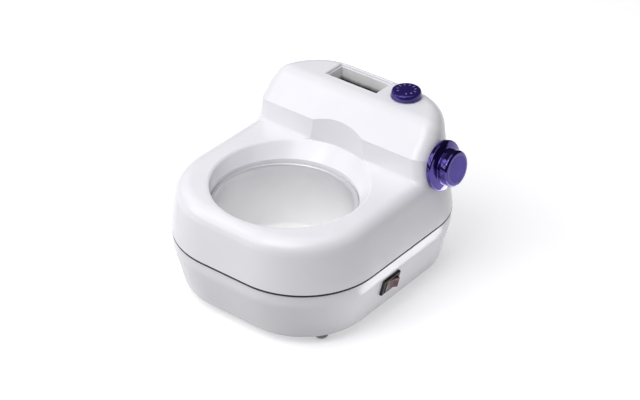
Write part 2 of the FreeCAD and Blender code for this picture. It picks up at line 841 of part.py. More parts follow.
def thermal_cutout():
    body = new_body("thermal_cutout")
    disc = sketch_on(body, "XY_Plane", "well_bottom")
    circle(disc, "0", "0", "cutout_radius")
    pad(body, disc, "cutout_height", down=True)
    blades = sketch_on(body, "YZ_Plane")
    low = "well_bottom - cutout_height"
    for sign in ("", "-"):
        left = f"{sign}blade_spread - blade_thickness / 2"
        right = f"{sign}blade_spread + blade_thickness / 2"
        rectangle(blades, left, f"{low} - blade_length / 2", right, f"{low} + cutout_height / 2")
    pad(body, blades, "blade_width", both=True)

    clip = new_body("cutout_clip")
    bridge = sketch_on(clip, "XZ_Plane")
    ring_low = "well_bottom - cutout_height - clip_thickness"
    outer = "cutout_radius + clip_play"
    wall = "cutout_radius + clip_play + clip_thickness"
    end = "clip_length / 2"
    under = "well_bottom - clip_thickness"
    polygon(
        bridge,
        [(f"-({end})", "well_bottom"), (f"-({end})", under), (f"-({wall})", under),
         (f"-({wall})", ring_low), (wall, ring_low), (wall, under), (end, under),
         (end, "well_bottom"), (outer, "well_bottom"), (outer, "well_bottom - cutout_height"),
         (f"-({outer})", "well_bottom - cutout_height"), (f"-({outer})", "well_bottom")],
    )
    pad(clip, bridge, "clip_width", both=True)
    window = sketch_on(clip, "XY_Plane", "well_bottom")
    side = "blade_width / 2 + blade_room"
    near_edge = "blade_spread - blade_thickness / 2 - blade_room"
    far_edge = "clip_width / 2 + cut_step"
    rectangle(window, f"-({side})", f"-({far_edge})", side, f"-({near_edge})")
    rectangle(window, f"-({side})", near_edge, side, far_edge)
    pocket(clip, window)
    holes = sketch_on(clip, "XY_Plane", "well_bottom")
    for across, along in clip_points():
        circle(holes, across, along, "screw_radius + screw_play")
    pocket(clip, holes, "clip_thickness")
    reach = "clip_thickness + clip_thread - tip_gap"
    screw_group("clip_screws", clip_points(), "well_bottom - clip_thickness", reach)


def slot_well():
    body = new_body("slot_well")
    inner = slot_border()
    outer = slot_border("slot_wall", "slot_wall")
    block = sketch_on(body, "XY_Plane", "slot_floor")
    rectangle(block, *outer)
    pad(body, block, "slot_depth")
    room = sketch_on(body, "XY_Plane", "under_top")
    rectangle(room, *inner)
    pocket(body, room, "slot_depth - slot_wall")
    for border, radius in ((inner, "slot_corner"), (outer, "slot_corner + slot_wall")):
        ends = [size(border[0]), size(border[2])]
        soften(body, radius, lambda edge: upright(edge) and any(near(edge.BoundBox.XMin, x) for x in ends))
    flange = sketch_on(body, "XY_Plane", "under_top")
    rectangle(flange, *inner)
    rectangle(flange, *slot_border("slot_flange", "slot_wall"))
    pad(body, flange, "slot_wall", down=True)


def slot_heater():
    middle = "(slot_left + slot_right) / 2"
    face = "slot_front + slot_step - slot_wall"
    plate = doc.addObject("Part::Box", "slot_heater")
    plate.Label = "slot_heater"
    bind(plate, "Length", "plate_width")
    bind(plate, "Width", "plate_thickness")
    bind(plate, "Height", "plate_height")
    stand_at(plate, f"{middle} - plate_width / 2", f"{face} - plate_thickness", "slot_floor + plate_lift")
    nodes.append(plate)

    strap = new_body("heater_strap")
    plan = sketch_on(strap, "XY_Plane", "strap_level - strap_height / 2")
    inside = slot_border("slot_wall", "slot_wall")
    outside = slot_border("slot_wall + strap_thickness", "slot_wall + strap_thickness")
    for border in (inside, outside):
        border[1] += " - plate_thickness"
        rectangle(plan, *border)
    pad(strap, plan, "strap_height")


def control_piece(label, radius, height, under):
    """A rotary control seen from above: round body, threaded bush and a bore for the shaft."""
    body = turned(
        label,
        [("shaft_radius + shaft_play", f"{under} - ({height}) + control_floor"),
         ("shaft_radius + shaft_play", "bush_reach"), ("bush_radius", "bush_reach"),
         ("bush_radius", under), (radius, under), (radius, f"{under} - ({height})"),
         ("0", f"{under} - ({height})"), ("0", f"{under} - ({height}) + control_floor")],
    )
    return body


def hex_nut(label, low):
    body = new_body(label)
    plan = sketch_on(body, "XY_Plane", low)
    corner = "nut_width / sqrt(3)"
    half = "nut_width / 2"
    polygon(
        plan,
        [(corner, "0"), (f"{corner} / 2", half), (f"-{corner} / 2", half), (f"-{corner}", "0"),
         (f"-{corner} / 2", f"-{half}"), (f"{corner} / 2", f"-{half}")],
    )
    circle(plan, "0", "0", "bush_radius")
    pad(body, plan, "nut_height")
    return body


def shaft_piece(label, low, high):
    return turned(label, [("0", low), ("shaft_radius", low), ("shaft_radius", high), ("0", high)])


def top_dial():
    recess = "knob_gap + recess_depth"
    socket = f"{recess} + dial_socket"
    dial = turned(
        "top_dial",
        [("0", socket), ("shaft_radius", socket), ("shaft_radius", recess),
         ("recess_radius", recess), ("recess_radius", "knob_gap"), ("dial_radius", "knob_gap"),
         ("dial_top_radius", "dial_height"), ("0", "dial_height")],
    )
    soften(dial, "dial_edge", ring_edge("dial_top_radius", "dial_height"))
    control = control_piece("dial_control", "control_radius", "control_height", "-case_wall")
    nut = hex_nut("dial_nut", "0")
    shaft = shaft_piece("dial_shaft", "control_floor + end_play - case_wall - control_height", socket)
    for body in (dial, control, nut, shaft):
        stand_at(body, "dial_place", "dial_back", "top")


def side_knob():
    back = "seat_rise + knob_gap"
    recess = f"{back} + recess_depth"
    socket = f"{recess} + knob_socket"
    neck = f"{back} + flange_depth"
    grip = f"{neck} + neck_depth"
    face = f"{grip} + grip_depth"
    knob = turned(
        "side_knob",
        [("0", socket), ("shaft_radius", socket), ("shaft_radius", recess),
         ("recess_radius", recess), ("recess_radius", back), ("flange_radius", back),
         ("flange_radius", neck), ("neck_radius", neck), ("neck_radius", grip), ("grip_radius", grip),
         ("grip_radius", face), ("cap_radius", face), ("cap_radius", f"{face} - cap_depth"),
         ("0", f"{face} - cap_depth")],
    )
    soften(knob, "grip_edge", ring_edge("grip_radius", face))
    soften(knob, "flange_edge", ring_edge("flange_radius", neck))
    cap = turned(
        "knob_cap",
        [("0", f"{face} - cap_depth"), ("cap_radius", f"{face} - cap_depth"), ("cap_radius", face),
         ("0", face)],
    )
    stat = control_piece("knob_thermostat", "stat_radius", "stat_depth", "-boss_depth")
    nut = hex_nut("knob_nut", "seat_rise")
    shaft = shaft_piece("knob_shaft", "control_floor + end_play - boss_depth - stat_depth", socket)
    for body in (knob, cap, stat, nut, shaft):
        stand_on_knob_axis(body)


def rocker_switch():
    frame = new_body("switch_frame")
    bezel = sketch_on(frame, "YZ_Plane")
    rectangle(bezel, "-bezel_length / 2", "-bezel_height / 2", "bezel_length / 2", "bezel_height / 2")
    pad(frame, bezel, "bezel_rise")
    front = size("bezel_rise")
    soften(frame, "bezel_edge", lambda edge: near(edge.BoundBox.XMin, front))
    barrel = sketch_on(frame, "YZ_Plane")
    rectangle(
        barrel, "-barrel_length / 2", "-barrel_height / 2", "barrel_length / 2", "barrel_height / 2",
    )
    pad(frame, barrel, "barrel_depth", down=True)
    bay = sketch_on(frame, "YZ_Plane", "bezel_rise")
    rectangle(bay, "-rocker_room / 2", "-rocker_bay / 2", "rocker_room / 2", "rocker_bay / 2")
    pocket(frame, bay, "bezel_rise + barrel_depth / 2")
    pivot = sketch_on(frame, "XY_Plane")
    circle(pivot, "0", "0", "pivot_radius + shaft_play")
    pocket(frame, pivot, "rocker_bay + 2 * (pivot_reach + end_play)", both=True)
    stand_on_panel(frame)

    rocker = new_body("rocker")
    side = sketch_on(rocker, "XY_Plane")
    half = "rocker_length / 2"
    crest = "bezel_rise + rocker_crest"
    skirt = "rocker_length / 2 - rocker_taper"
    polygon(
        side,
        [(crest, half), ("bezel_rise + rocker_valley", "0"), (crest, f"-{half}"),
         ("-rocker_skirt", f"-({skirt})"), ("-rocker_depth", "-rocker_nose"),
         ("-rocker_depth", "rocker_nose"), ("-rocker_skirt", skirt)],
    )
    pad(rocker, side, "rocker_height", both=True)
    pins = sketch_on(rocker, "XY_Plane")
    circle(pins, "0", "0", "pivot_radius")
    pad(rocker, pins, "rocker_bay + 2 * pivot_reach", both=True)
    stand_on_panel(rocker, "-rocker_tilt")

    blades = []
    for step in (-1, 0, 1):
        blade = doc.addObject("Part::Box", "switch_blade")
        bind(blade, "Length", "blade_length")
        bind(blade, "Width", "blade_thickness")
        bind(blade, "Height", "blade_width")
        lean = Rotation(Vector(0, 1, 0), size("tray_draft"))
        corner = Vector(
            -size("barrel_depth + blade_length"), step * size("barrel_length") / 3,
            -size("blade_width") / 2,
        )
        origin = Vector(size("panel_wall"), size("switch_along"), size("switch_level"))
        blade.Placement = FreeCAD.Placement(origin + lean.multVec(corner), lean)
        blades.append(blade)
    gather("switch_terminals", blades)


def cord_gland():
    """A rubber grommet that grips the tray's rear wall from both sides."""
    wall = "case_wall"
    body = turned(
        "cord_gland",
        [("gland_bore", "-gland_inside"), ("gland_bore", f"{wall} + gland_rise"),
         ("gland_hole", f"{wall} + gland_rise"), ("gland_flange", f"{wall} + gland_lip"),
         ("gland_flange", wall), ("gland_hole", wall), ("gland_hole", "0"), ("gland_flange", "0"),
         ("gland_flange", "-gland_inside")],
    )
    body.Placement = FreeCAD.Placement(Vector(0, 0, 0), Rotation(Vector(1, 0, 0), -90))
    stand_at(body, "gland_place", "rear_reach - tray_inset - case_wall", "gland_level")


def terminal_block():
    body = new_body("terminal_block")
    plan = sketch_on(body, "XY_Plane", "floor")
    rectangle(
        plan, "-block_length / 2", "block_back - block_depth", "block_length / 2", "block_back",
    )
    pad(body, plan, "block_height")
    wells = sketch_on(body, "XY_Plane", "floor + block_height")
    points = [(f"{step} * block_length / 3", "block_back - block_depth / 2") for step in ("-1", "0", "1")]
    for across, along in points:
        circle(wells, across, along, "screw_head + screw_play")
    pocket(body, wells, "block_height / 2")
    screws = []
    for across, along in points:
        screw = doc.addObject("Part::Cylinder", "block_screw")
        bind(screw, "Radius", "screw_head")
        bind(screw, "Height", "block_height / 4")
        stand_at(screw, across, along, "floor + block_height / 2")
        screws.append(screw)
    gather("block_screws", screws)


def feet():
    pieces = []
    plug = "post_bore - shaft_play"
    for index, (across, along) in enumerate(foot_points()):
        foot = doc.addObject("PartDesign::Body", f"foot_{index + 1}")
        profile = sketch_on(foot, "XZ_Plane")
        polygon(
            profile,
            [("0", "0"), ("foot_radius - foot_bevel", "0"), ("foot_radius", "foot_bevel"),
             ("foot_radius", "foot_height"), (plug, "foot_height"),
             (plug, "foot_height + plug_length"), ("0", "foot_height + plug_length")],
        )
        turn(foot, profile)
        stand_at(foot, across, along)
        pieces.append(foot)
    gather("feet", pieces)


upper_housing()
base_tray()
seam_seal()
heating_well()
well_gasket()
retaining_ring()
screw_group("ring_screws", lug_points(), "ring_base", "ring_thickness + thread_depth - tip_gap")
band_heater()
clamp_bolt()
thermal_cutout()
slot_well()
slot_heater()
top_dial()
side_knob()
rocker_switch()
cord_gland()
terminal_block()
feet()
screw_group("case_screws", foot_points(), "web", "web_height + seal_thickness + thread_depth - tip_gap")
doc.recompute()

for thing in doc.Objects:
    if "Invalid" in thing.State or "Error" in thing.State:
        raise RuntimeError(f"{thing.Label} failed: {thing.State}")
for node in nodes:
    if node.Shape.isNull() or not node.Shape.isValid():
        raise RuntimeError(f"{node.Label} has no valid shape")

os.makedirs("parts", exist_ok=True)
for node in nodes:
    node.Shape.exportStep(f"parts/{node.Label}.step")
    print(f"{node.Label}: {len(node.Shape.Solids)} solid(s), {node.Shape.Volume / 1000:.2f} cm3")
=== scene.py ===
import math

import bmesh
import bpy
from mathutils import Matrix, Vector


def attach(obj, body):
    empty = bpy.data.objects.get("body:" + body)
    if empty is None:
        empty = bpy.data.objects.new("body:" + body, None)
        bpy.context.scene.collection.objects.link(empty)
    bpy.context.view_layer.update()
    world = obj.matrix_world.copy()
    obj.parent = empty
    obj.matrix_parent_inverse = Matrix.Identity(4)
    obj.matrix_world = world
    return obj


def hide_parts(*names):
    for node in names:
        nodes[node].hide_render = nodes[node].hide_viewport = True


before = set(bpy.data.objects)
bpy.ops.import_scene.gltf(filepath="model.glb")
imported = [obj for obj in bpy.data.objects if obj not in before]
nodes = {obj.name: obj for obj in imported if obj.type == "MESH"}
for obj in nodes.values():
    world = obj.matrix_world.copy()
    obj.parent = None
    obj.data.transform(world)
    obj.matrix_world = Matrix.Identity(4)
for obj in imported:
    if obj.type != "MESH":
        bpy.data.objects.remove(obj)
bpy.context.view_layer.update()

mm = 0.001
print("loaded", len(nodes), "CAD nodes")

mergeGap = 0.002 * mm  # points nearer than this are one point
noiseSpan = (0.3, 0.7)  # nearly all of a noise pattern lies between these
mixSockets = {"share": 0, "from": 6, "to": 7, "result": 2}  # their numbers on a Mix node set to colour


def linear(hexColour):  # an sRGB hex colour as the linear colour Blender works in
    parts = [int(hexColour[at:at + 2], 16) / 255 for at in (1, 3, 5)]
    light = [part / 12.92 if part <= 0.04045 else ((part + 0.055) / 1.055) ** 2.4 for part in parts]
    return light + [1.0]


def perMm(size):  # texture scale for a feature of this size in millimetres
    return 1 / (size * mm)


def addNode(tree, kind, inputs=None, ramp=(), **settings):  # one node with its settings, values and links
    node = tree.nodes.new(kind)
    for name, value in settings.items():
        setattr(node, name, value)
    for name, value in (inputs or {}).items():
        if isinstance(value, bpy.types.NodeSocket):
            tree.links.new(value, node.inputs[name])
        else:
            node.inputs[name].default_value = value
    for at, (position, hexColour) in enumerate(ramp):  # the two ends of a colour ramp
        node.color_ramp.elements[at].position = position
        node.color_ramp.elements[at].color = linear(hexColour)
    return node


def startMaterial(name, constants):  # a material with one shader, and where its patterns are read
    material = bpy.data.materials.new(name)
    material.use_nodes = True
    tree = material.node_tree
    tree.nodes.clear()
    shader = addNode(tree, "ShaderNodeBsdfPrincipled", constants)
    addNode(tree, "ShaderNodeOutputMaterial", {"Surface": shader.outputs["BSDF"]})
    place = addNode(tree, "ShaderNodeTexCoord").outputs["Object"]
    return material, tree, shader, place


def mouldedPlastic(name, look):  # a moulded plastic: faint clouding, smudged gloss and orange peel
    material, tree, shader, place = startMaterial(name, {
        "IOR": look["ior"], "Metallic": look.get("metallic", 0.0), "Coat Weight": look.get("coat", 0.0),
    })
    flow = addNode(tree, "ShaderNodeTexNoise", {
        "Vector": place, "Scale": perMm(look["flowSize"]), "Detail": 3.0, "Distortion": 0.6,
    })
    tint = addNode(tree, "ShaderNodeValToRGB", {"Fac": flow.outputs["Fac"]},
                   ramp=zip(noiseSpan, (look["shade"], look["colour"])))
    smudge = addNode(tree, "ShaderNodeTexNoise", {
        "Vector": place, "Scale": perMm(look["smudgeSize"]), "Detail": 4.0,
    })
    gloss = addNode(tree, "ShaderNodeMapRange", {
        "Value": smudge.outputs["Fac"], "From Min": noiseSpan[0], "From Max": noiseSpan[1],
        "To Min": look["roughness"][0], "To Max": look["roughness"][1],
    })
    peel = addNode(tree, "ShaderNodeTexNoise", {
        "Vector": place, "Scale": perMm(look["peelSize"]), "Detail": 2.0,
    })
    bump = addNode(tree, "ShaderNodeBump", {
        "Height": peel.outputs["Fac"], "Strength": 1.0, "Distance": look["peelDepth"] * mm,
    })
    tree.links.new(tint.outputs["Color"], shader.inputs["Base Color"])
    tree.links.new(gloss.outputs["Result"], shader.inputs["Roughness"])
    tree.links.new(bump.outputs["Normal"], shader.inputs["Normal"])
    return material


def paintedByHeight(tree, place, colour, look):  # a colour that turns to a painted one by height, as painted light or painted shade: all of it below, none above
    parts = addNode(tree, "ShaderNodeSeparateXYZ", {"Vector": place})
    wave = addNode(tree, "ShaderNodeTexNoise", {
        "Vector": place, "Scale": perMm(look["waveSize"]), "Detail": 3.0,
    })
    level = addNode(tree, "ShaderNodeMath", {
        0: wave.outputs["Fac"], 1: look["waviness"] * mm, 2: parts.outputs["Z"],
    }, operation="MULTIPLY_ADD")
    share = addNode(tree, "ShaderNodeMapRange", {
        "Value": level.outputs["Value"], "From Min": look["above"] * mm, "From Max": look["below"] * mm,
    })
    mix = addNode(tree, "ShaderNodeMix", {
        mixSockets["share"]: share.outputs["Result"], mixSockets["from"]: colour,
        mixSockets["to"]: linear(look["colour"]),
    }, data_type="RGBA")
    return mix.outputs[mixSockets["result"]]


def turnedMetal(name, look):  # a metal spun about Z: fine rings, streaks in its sheen, and painted light low down: paler and less metallic
    material, tree, shader, place = startMaterial(name, {})
    paintedLight = look["paintedLight"]
    parts = addNode(tree, "ShaderNodeSeparateXYZ", {"Vector": place})
    flat = addNode(tree, "ShaderNodeCombineXYZ", {"X": parts.outputs["X"], "Y": parts.outputs["Y"]})
    radius = addNode(tree, "ShaderNodeVectorMath", {0: flat.outputs["Vector"]}, operation="LENGTH")
    ring = addNode(tree, "ShaderNodeCombineXYZ", {"X": radius.outputs["Value"], "Y": parts.outputs["Z"]})
    lines = addNode(tree, "ShaderNodeTexNoise", {
        "Vector": ring.outputs["Vector"], "Scale": perMm(look["ringSpacing"]),
        "Detail": 3.0, "Roughness": 0.6,
    })
    cloud = addNode(tree, "ShaderNodeTexNoise", {
        "Vector": place, "Scale": perMm(look["cloudSize"]), "Detail": 4.0,
    })
    tint = addNode(tree, "ShaderNodeValToRGB", {"Fac": cloud.outputs["Fac"]},
                   ramp=zip(noiseSpan, (look["shade"], look["colour"])))
    gloss = addNode(tree, "ShaderNodeMapRange", {
        "Value": lines.outputs["Fac"], "From Min": noiseSpan[0], "From Max": noiseSpan[1],
        "To Min": look["roughness"][0], "To Max": look["roughness"][1],
    })
    bump = addNode(tree, "ShaderNodeBump", {
        "Height": lines.outputs["Fac"], "Strength": 1.0, "Distance": look["ringDepth"] * mm,
    })
    metallicByHeight = addNode(tree, "ShaderNodeMapRange", {  # painted light: the metal's shine fades out towards the bottom
        "Value": parts.outputs["Z"], "From Min": paintedLight["below"] * mm, "From Max": paintedLight["above"] * mm,
        "To Min": 0.0, "To Max": look["metallic"],
    })
    tree.links.new(metallicByHeight.outputs["Result"], shader.inputs["Metallic"])
    # painted light: the colour turns paler towards the bottom
    tree.links.new(paintedByHeight(tree, place, tint.outputs["Color"], paintedLight), shader.inputs["Base Color"])
    tree.links.new(gloss.outputs["Result"], shader.inputs["Roughness"])
    tree.links.new(bump.outputs["Normal"], shader.inputs["Normal"])
    return material


def workedMetal(name, look):  # sheet, wire or plated metal: grain drawn out along one direction, dull patches
    material, tree, shader, place = startMaterial(name, {"Metallic": look.get("metallic", 1.0)})
    patchSpan = (0.35, 0.65)  # narrower than the noise, so the patches have clearer edges
    drawn = addNode(tree, "ShaderNodeMapping", {"Vector": place, "Scale": look["stretch"]})
    grain = addNode(tree, "ShaderNodeTexNoise", {
        "Vector": drawn.outputs["Vector"], "Scale": perMm(look["grainSize"]),
        "Detail": 5.0, "Roughness": 0.65,
    })
    patch = addNode(tree, "ShaderNodeTexNoise", {
        "Vector": place, "Scale": perMm(look["patchSize"]), "Detail": 3.0,
    })
    tint = addNode(tree, "ShaderNodeValToRGB", {"Fac": patch.outputs["Fac"]},
                   ramp=zip(patchSpan, (look["shade"], look["colour"])))
    colour = tint.outputs["Color"]
    # painted shade by height, where the look has it
    if "paintedShade" in look:
        colour = paintedByHeight(tree, place, colour, look["paintedShade"])
    gloss = addNode(tree, "ShaderNodeMapRange", {
        "Value": grain.outputs["Fac"], "From Min": noiseSpan[0], "From Max": noiseSpan[1],
        "To Min": look["roughness"][0], "To Max": look["roughness"][1],
    })
    bump = addNode(tree, "ShaderNodeBump", {
        "Height": grain.outputs["Fac"], "Strength": 1.0, "Distance": look["grainDepth"] * mm,
    })
    tree.links.new(colour, shader.inputs["Base Color"])
    tree.links.new(gloss.outputs["Result"], shader.inputs["Roughness"])
    tree.links.new(bump.outputs["Normal"], shader.inputs["Normal"])
    return material


# Glossy white ABS from a polished mould: a cool white with a wet-looking but slightly wavy shine
whiteAbs = mouldedPlastic("glossy_white_abs", {
    "colour": "#F3F2F7", "shade": "#EEEDF3", "ior": 1.54, "roughness": (0.18, 0.26),
    "flowSize": 60, "smudgeSize": 16, "peelSize": 2.2, "peelDepth": 0.006,
})
# Purple ABS with a pearl lacquer: nearly black where it mirrors the dark room, violet where it mirrors light
purpleAbs = mouldedPlastic("pearl_purple_abs", {
    "colour": "#4E3F92", "shade": "#463788", "ior": 1.5, "roughness": (0.05, 0.09),
    "metallic": 0.85, "coat": 0.6,
    "flowSize": 18, "smudgeSize": 6, "peelSize": 1.5, "peelDepth": 0.002,
})
# The dial's purple: the same lacquer over a darker moulding, so the pale numbers stand out
deepPurple = mouldedPlastic("deep_purple_abs", {
    "colour": "#3F3280", "shade": "#382B76", "ior": 1.5, "roughness": (0.05, 0.09),
    "metallic": 0.45, "coat": 0.25,
    "flowSize": 14, "smudgeSize": 5, "peelSize": 1.2, "peelDepth": 0.002,
})
# The knob's inlaid disc: the same lacquer with a satin finish, so it stays evenly violet
satinPurple = mouldedPlastic("satin_purple_abs", {
    "colour": "#524399", "shade": "#4B3C90", "ior": 1.5, "roughness": (0.29, 0.38), "metallic": 0.8,
    "flowSize": 12, "smudgeSize": 4, "peelSize": 0.6, "peelDepth": 0.006,
})
# Black nylon of the switch frame: fine spark texture, soft shine
blackNylon = mouldedPlastic("black_nylon", {
    "colour": "#0F0E0F", "shade": "#0A090A", "ior": 1.45, "roughness": (0.32, 0.46),
    "flowSize": 10, "smudgeSize": 3, "peelSize": 0.5, "peelDepth": 0.02,
})
# Dark red polycarbonate of the rocker: smooth, deep colour under a hard shine
redPolycarbonate = mouldedPlastic("dark_red_polycarbonate", {
    "colour": "#65343A", "shade": "#55262D", "ior": 1.5, "roughness": (0.12, 0.2),
    "flowSize": 8, "smudgeSize": 3, "peelSize": 0.8, "peelDepth": 0.006,
})
# White paint of the dial's numbers: matt, and tinted violet by the dial under its thin coat
whitePaint = mouldedPlastic("white_paint", {
    "colour": "#9A92C0", "shade": "#978FBC", "ior": 1.5, "roughness": (0.4, 0.55),
    "flowSize": 2, "smudgeSize": 1, "peelSize": 0.4, "peelDepth": 0.01,
})
# Dark grey EPDM strip between the shells: matt, slightly mottled
seamRubber = mouldedPlastic("dark_grey_epdm", {
    "colour": "#1A1A1C", "shade": "#121214", "ior": 1.5, "roughness": (0.6, 0.75),
    "flowSize": 9, "smudgeSize": 2, "peelSize": 0.5, "peelDepth": 0.03,
})
# Silicone of the well's gasket and the gland: matt grey, powdery
greySilicone = mouldedPlastic("grey_silicone", {
    "colour": "#9B9B9D", "shade": "#8C8C8F", "ior": 1.42, "roughness": (0.55, 0.7),
    "flowSize": 9, "smudgeSize": 3, "peelSize": 0.6, "peelDepth": 0.02,
})
# Grey rubber feet: matt, with worn lighter patches
footRubber = mouldedPlastic("grey_nitrile_rubber", {
    "colour": "#A3A3A6", "shade": "#8C8C90", "ior": 1.52, "roughness": (0.6, 0.8),
    "flowSize": 5, "smudgeSize": 2, "peelSize": 0.7, "peelDepth": 0.04,
})
# Brown phenolic of the controls and the terminal block: dull shine with flow marks
brownPhenolic = mouldedPlastic("brown_phenolic", {
    "colour": "#4B352A", "shade": "#3B2A22", "ior": 1.6, "roughness": (0.3, 0.45),
    "flowSize": 7, "smudgeSize": 4, "peelSize": 0.8, "peelDepth": 0.015,
})
# Spun aluminium of the well: satin, fine rings left by the roller, drawn coarser than real so they show,
# and painted light: paler and less metallic further down, where more light falls on the lower wall
spunAluminium = turnedMetal("spun_aluminium", {
    "colour": "#E6E6E9", "shade": "#DEDEE1", "metallic": 0.45, "roughness": (0.30, 0.42),
    "ringSpacing": 1.4, "ringDepth": 0.012, "cloudSize": 35,
    "paintedLight": {"colour": "#FFFFFF", "below": 27.0, "above": 76.0, "waviness": 3.0, "waveSize": 9},
})
# Pale anodised aluminium of the cartridge well: drawn from top to bottom, with painted shade: dark further
# down, where the slot lies in shadow
drawnAluminium = workedMetal("drawn_aluminium", {
    "colour": "#FAFAFB", "shade": "#F0F0F2", "metallic": 0.05, "roughness": (0.32, 0.46),
    "stretch": (1, 1, 0.08), "grainSize": 0.8, "grainDepth": 0.01, "patchSize": 20,
    "paintedShade": {"colour": "#3F3D3F", "below": 128.4, "above": 132.4, "waviness": 2.0, "waveSize": 9},
})
# Zinc plated steel of the brackets: cool grey with a cloudy sheen
zincSteel = workedMetal("zinc_plated_steel", {
    "colour": "#B9BCC2", "shade": "#9EA2AA", "roughness": (0.3, 0.45),
    "stretch": (0.1, 1, 1), "grainSize": 0.5, "grainDepth": 0.008, "patchSize": 6,
})
# Bright steel of the screws: turned, a little oily
screwSteel = workedMetal("bright_screw_steel", {
    "colour": "#C2C4C8", "shade": "#A8ABB1", "roughness": (0.29, 0.4),
    "stretch": (1, 1, 0.3), "grainSize": 0.3, "grainDepth": 0.005, "patchSize": 3,
})
# Ground steel of the shafts: bright, with a fine even grain
shaftSteel = workedMetal("ground_shaft_steel", {
    "colour": "#CCCED2", "shade": "#B5B8BD", "roughness": (0.16, 0.26),
    "stretch": (1, 1, 1), "grainSize": 0.3, "grainDepth": 0.004, "patchSize": 4,
})
# Heater steel: browned by heat, patchy
heatedSteel = workedMetal("heat_stained_steel", {
    "colour": "#8F8579", "shade": "#6F6355", "roughness": (0.38, 0.55),
    "stretch": (1, 1, 0.2), "grainSize": 0.9, "grainDepth": 0.015, "patchSize": 14,
})
# Brass of nuts and terminals: warm, slightly tarnished
tarnishedBrass = workedMetal("tarnished_brass", {
    "colour": "#C9A45A", "shade": "#A98542", "roughness": (0.29, 0.42),
    "stretch": (1, 1, 0.4), "grainSize": 0.4, "grainDepth": 0.006, "patchSize": 3,
})

finishes = {  # the record's material slots and what each is made of here
    "housing_plastic": whiteAbs, "knob_plastic": purpleAbs, "cap_plastic": satinPurple,
    "switch_plastic": blackNylon, "rocker_plastic": redPolycarbonate, "control_plastic": brownPhenolic,
    "seal_rubber": seamRubber, "gasket_rubber": greySilicone, "foot_rubber": footRubber,
    "well_aluminium": spunAluminium, "slot_aluminium": drawnAluminium, "bracket_steel": zincSteel,
    "screw_steel": screwSteel, "shaft_steel": shaftSteel, "heater_steel": heatedSteel,
    "nut_brass": tarnishedBrass, "terminal_brass": tarnishedBrass,
}
for node in nodes.values():
    for materialSlot in node.material_slots:
        materialSlot.material = finishes[materialSlot.material.name]
print("materials", len(finishes), "slots")


def asPiece(bm, name, body, material):  # a mesh as a smooth piece that rides on a body
    mesh = bpy.data.meshes.new(name)
    bm.to_mesh(mesh)
    bm.free()
    mesh.materials.append(material)
    mesh.shade_smooth()
    piece = bpy.data.objects.new(name, mesh)
    bpy.context.scene.collection.objects.link(piece)
    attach(piece, body)
    return piece


def settle(bm, name, body, material, sharpAngle):  # a new shape, cleaned, with its sharp edges kept
    bmesh.ops.remove_doubles(bm, verts=bm.verts, dist=mergeGap)
    bmesh.ops.recalc_face_normals(bm, faces=bm.faces)
    piece = asPiece(bm, name, body, material)
    piece.data.set_sharp_from_angle(angle=math.radians(sharpAngle))
    return piece


def lathe(profile, steps):  # a turned shape about Z from pairs of radius and height in millimetres
    bm = bmesh.new()
    chain = [bm.verts.new((radius * mm, 0, height * mm)) for radius, height in profile]
    edges = [bm.edges.new(pair) for pair in zip(chain, chain[1:])]
    bmesh.ops.spin(bm, geom=chain + edges, axis=(0, 0, 1), cent=(0, 0, 0), angle=2 * math.pi,
                   steps=steps, use_merge=True)
    return bm


# Upper shell: the CAD form with its own shading, and the steps of the rounded mouth shaded as one curve
shell = {  # where the mouth's facets lie, and how much they face up
    "mouthLow": 96.9, "mouthHigh": 99.05, "mouthReach": (58.0, 76.0), "steepest": 0.15, "flattest": 0.99,
}


def onMouth(face):  # true for a facet of the funnel's rounded edge
    look = shell
    middle = face.calc_center_median() / mm
    heights = [vert.co.z / mm for vert in face.verts]
    return (look["mouthLow"] < min(heights) and max(heights) < look["mouthHigh"]
            and look["steepest"] < face.normal.z < look["flattest"]
            and look["mouthReach"][0] < math.hypot(middle.x, middle.y) < look["mouthReach"][1])


def makeShell():
    source = nodes["upper_housing"].data
    bm = bmesh.new()
    bm.from_mesh(source)
    shading = bm.loops.layers.float_vector.new("shading")
    for polygon, face in zip(source.polygons, bm.faces):
        for corner, loop in zip(polygon.loop_indices, face.loops):
            loop[shading] = source.corner_normals[corner].vector
    bmesh.ops.remove_doubles(bm, verts=bm.verts, dist=mergeGap)
    facets = {face for face in bm.faces if onMouth(face)}
    curved = {}
    for face in facets:
        for loop in face.loops:
            around = loop.vert.link_loops
            beside = [other for other in around if other.face not in facets]
            if beside:
                curved[loop] = beside[0][shading].copy()
            else:
                curved[loop] = sum((other.face.normal * other.calc_angle() for other in around), Vector())
    for loop, normal in curved.items():
        loop[shading] = normal.normalized()
    normals = [loop[shading].copy() for face in bm.faces for loop in face.loops]
    bm.loops.layers.float_vector.remove(shading)
    piece = asPiece(bm, "upper_shell", "housing", whiteAbs)
    piece.data.normals_split_custom_set(normals)
    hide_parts("upper_housing")
    print("upper shell", len(facets), "mouth facets")


makeShell()

# Seam bead: the strip between the shells, with a soft lip that lies over the tray's edge
bead = {
    "middle": (0.0, 34.4), "levelWithin": 0.01, "upright": 0.1,
    "profile": (  # outward from the CAD strip's face, and height
        (-2.0, 54.5), (-2.0, 55.4), (0.55, 55.4), (0.85, 55.3), (0.96, 55.05), (0.96, 53.8), (0.85, 53.55),
        (0.6, 53.45), (0.25, 53.45), (0.25, 54.5)),
}


